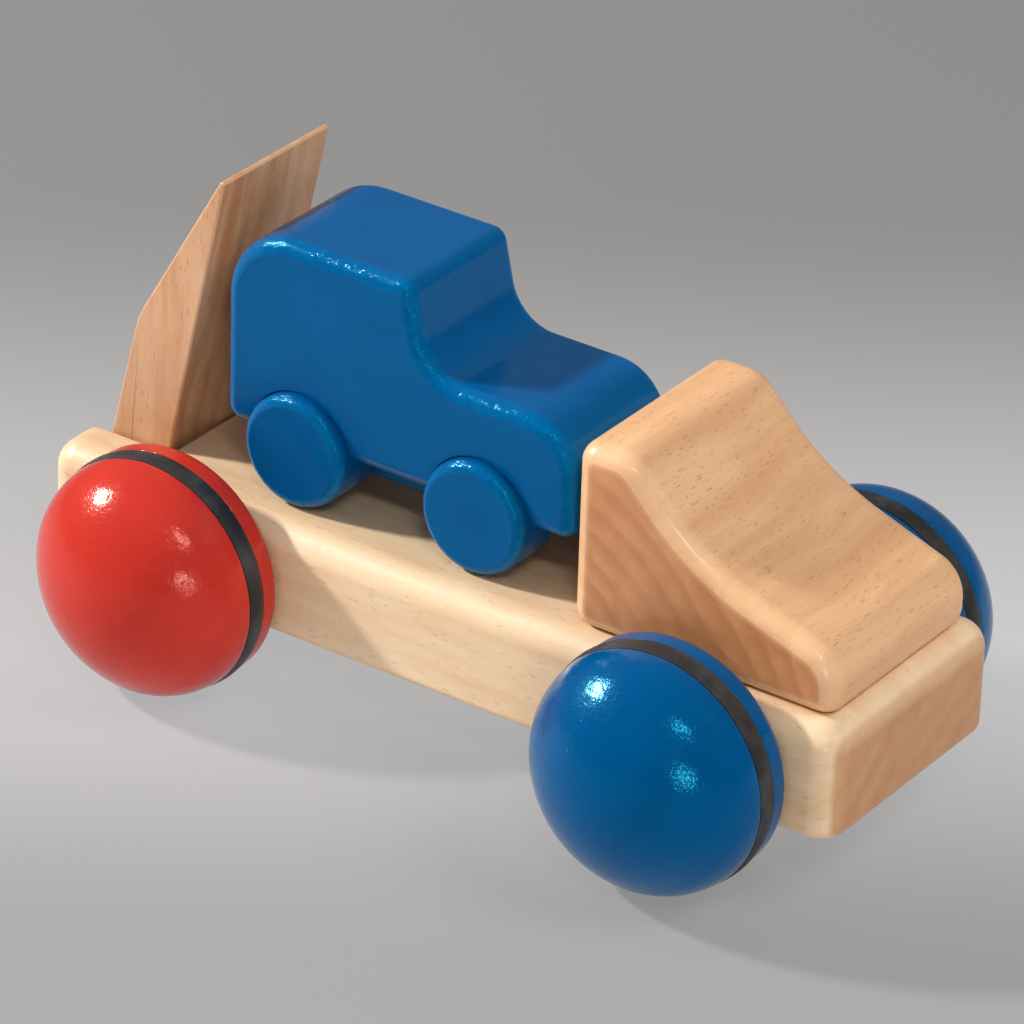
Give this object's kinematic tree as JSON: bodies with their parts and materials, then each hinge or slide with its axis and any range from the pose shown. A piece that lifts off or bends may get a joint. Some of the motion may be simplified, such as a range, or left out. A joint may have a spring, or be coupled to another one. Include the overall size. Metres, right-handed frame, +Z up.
{
  "type": "toy truck",
  "caption": "Wooden toy truck with domed rubber-ringed wheels, a block cab, a fold-down rear ramp and a small painted car that rides loose on its flat bed.",
  "frame": {"origin": "on the floor under the middle of the truck", "axes": "+X is the truck's front, +Y its left side, +Z up"},
  "size_m": [0.1932, 0.1198, 0.1057],
  "materials": {
    "beech": "oiled beech, fine grain with short dark flecks",
    "dowel": "plain birch dowel",
    "blue_paint": "blue lacquer on wood, glossy, faintly uneven",
    "red_paint": "red lacquer on wood, glossy, faintly uneven",
    "ring_rubber": "black rubber ring, satin"
  },
  "bodies": {
    "truck": {"chassis": "beech", "cab": "beech", "cab_dowels": "dowel", "ramp_pin": "dowel"},
    "ramp": {"ramp": "beech"},
    "front_wheels": {"front_axle": "dowel", "front_right_wheel": "blue_paint", "front_left_wheel": "blue_paint", "front_right_tyre": "ring_rubber", "front_left_tyre": "ring_rubber"},
    "rear_wheels": {"rear_axle": "dowel", "rear_right_wheel": "red_paint", "rear_left_wheel": "red_paint", "rear_right_tyre": "ring_rubber", "rear_left_tyre": "ring_rubber"},
    "car": {"car_body": "blue_paint"},
    "car_front_wheels": {"car_front_axle": "dowel", "car_front_right_wheel": "blue_paint", "car_front_left_wheel": "blue_paint"},
    "car_rear_wheels": {"car_rear_axle": "dowel", "car_rear_right_wheel": "blue_paint", "car_rear_left_wheel": "blue_paint"}
  },
  "joints": [
    {"name": "ramp_fold", "type": "hinge", "parent": "truck", "child": "ramp", "pos_m": [-0.08375, 0, 0.0305], "axis": [0, -1, 0], "range_deg": [0, 128]},
    {"name": "front_wheels_roll", "type": "hinge", "parent": "truck", "child": "front_wheels", "pos_m": [0.06186, 0, 0.026], "axis": [0, 1, 0], "continuous": true},
    {"name": "rear_wheels_roll", "type": "hinge", "parent": "truck", "child": "rear_wheels", "pos_m": [-0.06096, 0, 0.026], "axis": [0, 1, 0], "continuous": true},
    {"name": "car_lift", "type": "slide", "parent": "truck", "child": "car", "axis": [0, 0, 1], "range_m": [0, 0.07]},
    {"name": "car_front_wheels_roll", "type": "hinge", "parent": "car", "child": "car_front_wheels", "pos_m": [0.00466, -0.0015, 0.0532], "axis": [0, 1, 0], "continuous": true},
    {"name": "car_rear_wheels_roll", "type": "hinge", "parent": "car", "child": "car_rear_wheels", "pos_m": [-0.03954, -0.0015, 0.0532], "axis": [0, 1, 0], "continuous": true}
  ]
}
